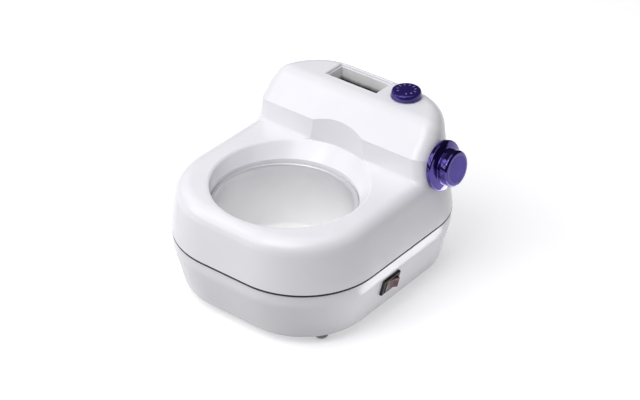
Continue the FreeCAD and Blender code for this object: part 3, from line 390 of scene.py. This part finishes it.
def outlineOf(mesh, look):  # the upper outer edge of a ring-shaped strip, in order, and which way is out
    bm = bmesh.new()
    bm.from_mesh(mesh)
    bmesh.ops.remove_doubles(bm, verts=bm.verts, dist=mergeGap)
    top = max(vert.co.z for vert in bm.verts) - look["levelWithin"] * mm
    middle = Vector((*look["middle"], 0)) * mm
    ways = {}  # from each point, the points it leads to and which way the strip faces there
    for edge in bm.edges:
        for face in edge.link_faces:
            outward = face.normal.dot(face.calc_center_median() - middle) > 0
            onTop = min(vert.co.z for vert in edge.verts) > top
            if abs(face.normal.z) < look["upright"] and outward and onTop:
                for vert, other in (edge.verts, reversed(edge.verts)):
                    ways.setdefault(vert, []).append((other, face.normal.copy()))
    start = vert = next(iter(ways))
    before = None
    chain = []
    while vert is not None:
        spread = sum((normal for _, normal in ways[vert]), Vector()).normalized()
        chain.append((vert.co.copy(), spread))
        before, vert = vert, next((other for other, _ in ways[vert] if other is not before), None)
        if vert is start:
            break
    bm.free()
    return chain


def makeBead():
    look = bead
    bm = bmesh.new()
    loops = []
    for place, spread in outlineOf(nodes["seam_seal"].data, look):
        ring = [bm.verts.new(Vector((place.x, place.y, height * mm)) + spread * out * mm)
                for out, height in look["profile"]]
        loops.append([bm.edges.new(pair) for pair in zip(ring, ring[1:] + ring[:1])])
    for loop, following in zip(loops, loops[1:] + loops[:1]):
        bmesh.ops.bridge_loops(bm, edges=loop + following)
    piece = settle(bm, "seam_bead", "housing", seamRubber, sharpAngle=50)
    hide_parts("seam_seal")
    print("seam bead", len(loops), "steps")


makeBead()

# Heating well: the CAD form with a full rolled bead round its mouth
well = {
    "roll": {"radius": 58.0, "height": 81.9, "size": 1.9, "turn": 200, "steps": 12},
    "outside": ((0.0, 22.5), (57.5, 22.5), (58.6, 22.95), (59.0, 24.0), (59.0, 78.9), (66.0, 78.9),
                (66.0, 81.5)),
    "inside": ((57.26, 79.5), (55.62, 28.6), (55.4, 27.3), (54.8, 26.3), (53.9, 25.7), (52.6, 25.5),
               (0.0, 25.5)),
    "steps": 160,
}


def makeWell():
    look = well
    roll = look["roll"]
    rolled = []
    for step in range(roll["steps"] + 1):
        angle = math.radians(roll["turn"] * step / roll["steps"])
        rolled.append((roll["radius"] + roll["size"] * math.cos(angle),
                       roll["height"] + roll["size"] * math.sin(angle)))
    bm = lathe((*look["outside"], *rolled, *look["inside"]), look["steps"])
    piece = settle(bm, "well_body", "housing", spunAluminium, sharpAngle=40)
    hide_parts("heating_well")
    print("well", len(rolled), "points in its roll")


makeWell()

# Cartridge well: a square-cornered sleeve under the slot, with the CAD form's walls, flange and floor
sleeve = {
    "middle": (-13.0, 113.1), "inside": (25.3, 10.0), "wall": 1.8, "flange": (5.0, 1.8),
    "top": 139.2, "flangeBase": 137.4, "floor": 69.0, "base": 67.2, "corner": 0.9, "cornerSteps": 4,
}


def makeSleeve():
    look = sleeve
    bm = bmesh.new()
    wall = (look["wall"], look["wall"])
    levels = (  # how far each level stands out from the inside, and its height
        (wall, look["base"]), (wall, look["flangeBase"]), (look["flange"], look["flangeBase"]),
        (look["flange"], look["top"]), ((0, 0), look["top"]), ((0, 0), look["floor"]))
    middle = Vector((*look["middle"], look["base"])) * mm
    reach = [size + look["wall"] for size in look["inside"]]
    corners = [bm.verts.new(middle + Vector((signX * reach[0], signY * reach[1], 0)) * mm)
               for signX, signY in ((1, 1), (-1, 1), (-1, -1), (1, -1))]
    bm.faces.new(corners)
    bmesh.ops.bevel(bm, geom=corners, offset=look["corner"] * mm, segments=look["cornerSteps"], profile=0.5,
                    affect="VERTICES", material=-1)
    rim = list(bm.edges)
    for (before, _), (grown, height) in zip(levels, levels[1:]):
        fresh = bmesh.ops.extrude_edge_only(bm, edges=rim)["geom"]
        rim = [part for part in fresh if isinstance(part, bmesh.types.BMEdge)]
        for vert in (part for part in fresh if isinstance(part, bmesh.types.BMVert)):
            for axis in (0, 1):
                side = math.copysign(1, vert.co[axis] - middle[axis])
                vert.co[axis] += side * (grown[axis] - before[axis]) * mm
            vert.co.z = height * mm
    bmesh.ops.edgeloop_fill(bm, edges=rim)
    piece = settle(bm, "slot_sleeve", "housing", drawnAluminium, sharpAngle=30)
    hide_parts("slot_well")
    print("sleeve", len(levels), "levels")


makeSleeve()

# Side knob: the CAD form with a crisper grip, on the axis that stands square to the leaning wall
knob = {
    "pivot": (86.492, 90.0, 108.4), "lean": 83.0, "steps": 144, "profile": (
        (0.0, 9.3), (3.0, 9.3), (3.0, 5.3), (8.6, 5.3), (8.6, 1.7), (20.5, 1.7), (20.8, 1.85), (20.9, 2.2),
        (20.9, 4.9), (20.8, 5.35), (20.5, 5.68), (20.0, 5.88), (15.2, 7.3), (14.5, 7.5), (14.15, 7.8),
        (14.1, 8.2), (14.1, 8.8), (14.2, 9.1), (14.5, 9.25), (14.85, 9.4), (15.0, 9.8), (15.0, 15.2),
        (14.85, 16.0), (14.4, 16.75), (13.55, 17.3), (12.3, 17.5), (11.2, 17.5), (10.95, 17.42),
        (10.85, 17.2), (10.8, 16.3), (0.0, 16.3)),
}


def makeKnob():
    look = knob
    bm = lathe(look["profile"], look["steps"])
    turn = Matrix.Rotation(math.radians(look["lean"]), 4, "Y")
    bm.transform(Matrix.Translation(Vector(look["pivot"]) * mm) @ turn)
    piece = settle(bm, "knob_body", "knob", purpleAbs, sharpAngle=40)
    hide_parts("side_knob")
    print("knob", look["steps"], "steps")


makeKnob()

# Dial: a tapered disc with a low dome, numbers in a ring on it
dial = {
    "place": (35.5, 113.1, 142.0), "steps": 96,
    "profile": ((8.6, 0.5), (12.5, 0.5), (12.9, 0.8), (12.85, 1.6), (12.0, 4.9), (11.75, 5.5), (11.2, 5.95),
                (9.8, 6.25), (7.0, 6.5), (3.5, 6.62), (0.0, 6.65)),
    "numbers": "0123456789", "numberSize": 2.66, "numberWeight": 0.04, "numberRise": 0.16,
    "numberRing": 7.2, "numberBase": 6.46, "firstAt": 235, "sweep": 290,  # degrees, seen from above
}


def makeDial():
    look = dial
    place = Matrix.Translation(Vector(look["place"]) * mm)
    bm = lathe(look["profile"], look["steps"])
    bm.transform(place)
    body = settle(bm, "dial_body", "dial", deepPurple, sharpAngle=40)
    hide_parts("top_dial")
    last = len(look["numbers"]) - 1
    for index, sign in enumerate(look["numbers"]):
        words = bpy.data.curves.new("number", "FONT")
        words.body = sign
        words.align_x = "CENTER"
        words.align_y = "CENTER"
        words.size = look["numberSize"] * mm
        words.extrude = look["numberRise"] * mm
        words.offset = look["numberWeight"] * mm
        holder = bpy.data.objects.new("number", words)
        bpy.context.scene.collection.objects.link(holder)
        bpy.context.view_layer.update()
        mesh = bpy.data.meshes.new_from_object(holder.evaluated_get(bpy.context.evaluated_depsgraph_get()))
        bpy.data.objects.remove(holder)
        angle = math.radians(look["firstAt"] - look["sweep"] * index / last)
        spot = Vector((math.cos(angle), math.sin(angle), 0)) * look["numberRing"] * mm
        spot.z = look["numberBase"] * mm
        mesh.transform(place @ Matrix.Translation(spot) @ Matrix.Rotation(angle - math.pi / 2, 4, "Z"))
        bm = bmesh.new()
        bm.from_mesh(mesh)
        bpy.data.meshes.remove(mesh)
        settle(bm, "dial_number_" + sign, "dial", whitePaint, sharpAngle=40)
    print("dial", len(look["numbers"]), "numbers")


makeDial()

# Rocker: a hollowed front face with rounded edges, stored with its front end pressed. The skirt and the
# nose, which are out of sight, are given as depth and half length
rocker = {
    "pivot": (88.559, 22.5, 32.0), "wallLean": 13.5, "tilt": 10.0, "halfLength": 7.0, "halfHeight": 5.0,
    "crest": 4.4, "valley": 2.8, "arcSteps": 10, "skirt": (-1.5, 6.0), "nose": (-4.5, 1.5),
    "edge": 0.5, "edgeSteps": 4, "foldAngle": 30,
}


def makeRocker():
    look = rocker
    bm = bmesh.new()
    half = look["halfLength"]
    hollow = look["crest"] - look["valley"]
    outline = []
    for step in range(look["arcSteps"] + 1):
        share = 1 - 2 * step / look["arcSteps"]
        outline.append((look["valley"] + hollow * share * share, half * share))
    outline += [(look["skirt"][0], -look["skirt"][1]), (look["nose"][0], -look["nose"][1]),
                (look["nose"][0], look["nose"][1]), (look["skirt"][0], look["skirt"][1])]
    corners = [bm.verts.new(Vector((out, along, -look["halfHeight"])) * mm) for out, along in outline]
    grown = bmesh.ops.extrude_face_region(bm, geom=[bm.faces.new(corners)])["geom"]
    risen = [part for part in grown if isinstance(part, bmesh.types.BMVert)]
    bmesh.ops.translate(bm, verts=risen, vec=(0, 0, 2 * look["halfHeight"] * mm))
    bmesh.ops.recalc_face_normals(bm, faces=bm.faces)
    outer = [edge for edge in bm.edges if edge.calc_face_angle() > math.radians(look["foldAngle"])
             and min(vert.co.x for vert in edge.verts) > look["skirt"][0] * mm]
    print("rocker", len(outer), "rounded edges")
    bmesh.ops.bevel(bm, geom=outer, offset=look["edge"] * mm, segments=look["edgeSteps"], profile=0.5,
                    affect="EDGES", material=-1)
    lean = Matrix.Rotation(math.radians(look["wallLean"]), 4, "Y")
    tilt = Matrix.Rotation(math.radians(-look["tilt"]), 4, "Z")
    bm.transform(Matrix.Translation(Vector(look["pivot"]) * mm) @ lean @ tilt)
    piece = settle(bm, "rocker_face", "rocker", redPolycarbonate, sharpAngle=40)
    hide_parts("rocker")


makeRocker()

# Stage: white paper that glows a little, as a lit table does. The card beside the part throws light up at
# the tray, and the strip light is seen only in reflections, as the bright band under the seam
paper = {"colour": "#F4F4F6", "shade": "#EFEFF2", "glowColour": "#FFFFFF", "roughness": 0.9, "cloudSize": 120}
sheets = {  # middle in millimetres, width and depth in metres
    "floor": {"middle": (0, 0, 0), "size": (8.0, 8.0), "glow": 0.33, "shows": True, "lightsThePart": False},
    "card": {"middle": (155, 50, 0.1), "size": (0.11, 0.26), "glow": 0.33, "shows": True,
             "lightsThePart": True},
    "strip": {"middle": (139, 98, 0.2), "size": (0.03, 0.17), "glow": 4.5, "shows": False,
              "lightsThePart": False},
}


def whitePaper(name, glow):  # matt paper with a faint cloud in its white and a glow of its own
    look = paper
    material, tree, shader, place = startMaterial(name + "_white_paper", {
        "Roughness": look["roughness"], "Specular IOR Level": 0.0,
        "Emission Color": linear(look["glowColour"]), "Emission Strength": glow,
    })
    cloud = addNode(tree, "ShaderNodeTexNoise", {
        "Vector": place, "Scale": perMm(look["cloudSize"]), "Detail": 3.0,
    })
    tint = addNode(tree, "ShaderNodeValToRGB", {"Fac": cloud.outputs["Fac"]},
                   ramp=((0.0, look["shade"]), (1.0, look["colour"])))
    tree.links.new(tint.outputs["Color"], shader.inputs["Base Color"])
    return material


def laySheets():
    for name, look in sheets.items():
        bm = bmesh.new()
        bmesh.ops.create_grid(bm, x_segments=2, y_segments=2, size=0.5)  # one metre wide before it is scaled
        grow = Matrix.Diagonal((*look["size"], 1.0)).to_4x4()
        bm.transform(Matrix.Translation(Vector(look["middle"]) * mm) @ grow)
        mesh = bpy.data.meshes.new(name)
        bm.to_mesh(mesh)
        bm.free()
        mesh.materials.append(whitePaper(name, look["glow"]))
        sheet = bpy.data.objects.new(name, mesh)
        sheet.visible_diffuse = look["lightsThePart"]
        sheet.visible_camera = look["shows"]
        sheet.visible_shadow = look["shows"]
        bpy.context.scene.collection.objects.link(sheet)


laySheets()

# Room light: soft from all round, and a little stronger from the left
room = {"colour": "#FFFFFF", "brightestTowards": (-0.85, -0.1, 0.5), "strength": (0.29, 0.46)}


def lightRoom():
    look = room
    world = bpy.data.worlds.new("studio")
    world.use_nodes = True
    bpy.context.scene.world = world
    world.cycles_visibility.glossy = False  # the room fills the shadows softly, and shows in no reflection
    tree = world.node_tree
    way = addNode(tree, "ShaderNodeTexCoord").outputs["Generated"]
    share = addNode(tree, "ShaderNodeVectorMath", {
        0: way, 1: Vector(look["brightestTowards"]).normalized(),
    }, operation="DOT_PRODUCT")
    strength = addNode(tree, "ShaderNodeMapRange", {
        "Value": share.outputs["Value"], "From Min": -1.0, "From Max": 1.0,
        "To Min": look["strength"][0], "To Max": look["strength"][1],
    })
    sky = tree.nodes["Background"]
    sky.inputs["Color"].default_value = linear(look["colour"])
    tree.links.new(strength.outputs["Result"], sky.inputs["Strength"])


lightRoom()

# Lamps: soft boxes round the part, and a window with four panes that the glossy white mirrors
lamps = {  # where each stands as seen from the aim, its distance, width and height in metres, and watts
    "window": {"towards": (-0.52, -0.65, 0.55), "distance": 1.35, "size": (0.56, 0.46), "watts": 5.6,
               "panes": 2, "gap": 0.1},
    "top": {"towards": (0.0, 0.0, 1.0), "distance": 1.4, "size": (1.2, 1.2), "watts": 4.3},
    "left": {"towards": (-0.9, 0.2, 0.4), "distance": 1.4, "size": (0.9, 0.9), "watts": 0.9},
    "frontHigh": {"towards": (0.0, -0.55, 0.83), "distance": 1.4, "size": (0.9, 0.9), "watts": 6.6},
}
lampsAim = Vector((0.0, 30.0, 80.0)) * mm


def hangLamps():
    for name, look in lamps.items():
        panes = look.get("panes", 1)  # panes each way
        pitch = [size + look.get("gap", 0.0) for size in look["size"]]
        towards = Vector(look["towards"]).normalized()
        middle = Matrix.Translation(lampsAim + towards * look["distance"])
        turn = towards.to_track_quat("Z", "Y").to_matrix().to_4x4()
        for across in range(panes):
            for up in range(panes):
                lamp = bpy.data.lights.new(name, "AREA")
                lamp.shape = "RECTANGLE"
                lamp.size, lamp.size_y = look["size"]
                lamp.energy = look["watts"] / panes ** 2
                shift = [pitch[0] * (across - (panes - 1) / 2), pitch[1] * (up - (panes - 1) / 2), 0]
                holder = bpy.data.objects.new(name, lamp)
                holder.matrix_world = middle @ turn @ Matrix.Translation(shift)
                bpy.context.scene.collection.objects.link(holder)


hangLamps()

# Camera: front right and above, a long lens
viewpoint = {
    "place": (840.8, -1010.1, 946.3), "back": (0.5210, -0.6543, 0.5481),  # back points away from the part
    "lens": 111.13, "sensorWidth": 36.0, "farthest": 20.0,
}


def setCamera():
    look = viewpoint
    scene = bpy.context.scene
    view = bpy.data.cameras.new("camera")
    view.lens = look["lens"]
    view.sensor_width = look["sensorWidth"]
    view.sensor_fit = "HORIZONTAL"
    view.clip_end = look["farthest"]
    camera = bpy.data.objects.new("camera", view)
    turn = Vector(look["back"]).normalized().to_track_quat("Z", "Y").to_matrix().to_4x4()
    camera.matrix_world = Matrix.Translation(Vector(look["place"]) * mm) @ turn
    scene.collection.objects.link(camera)
    scene.camera = camera
    scene.view_settings.view_transform = "Standard"


setCamera()
print("stage", len(sheets), "sheets", len(lamps), "lamps")
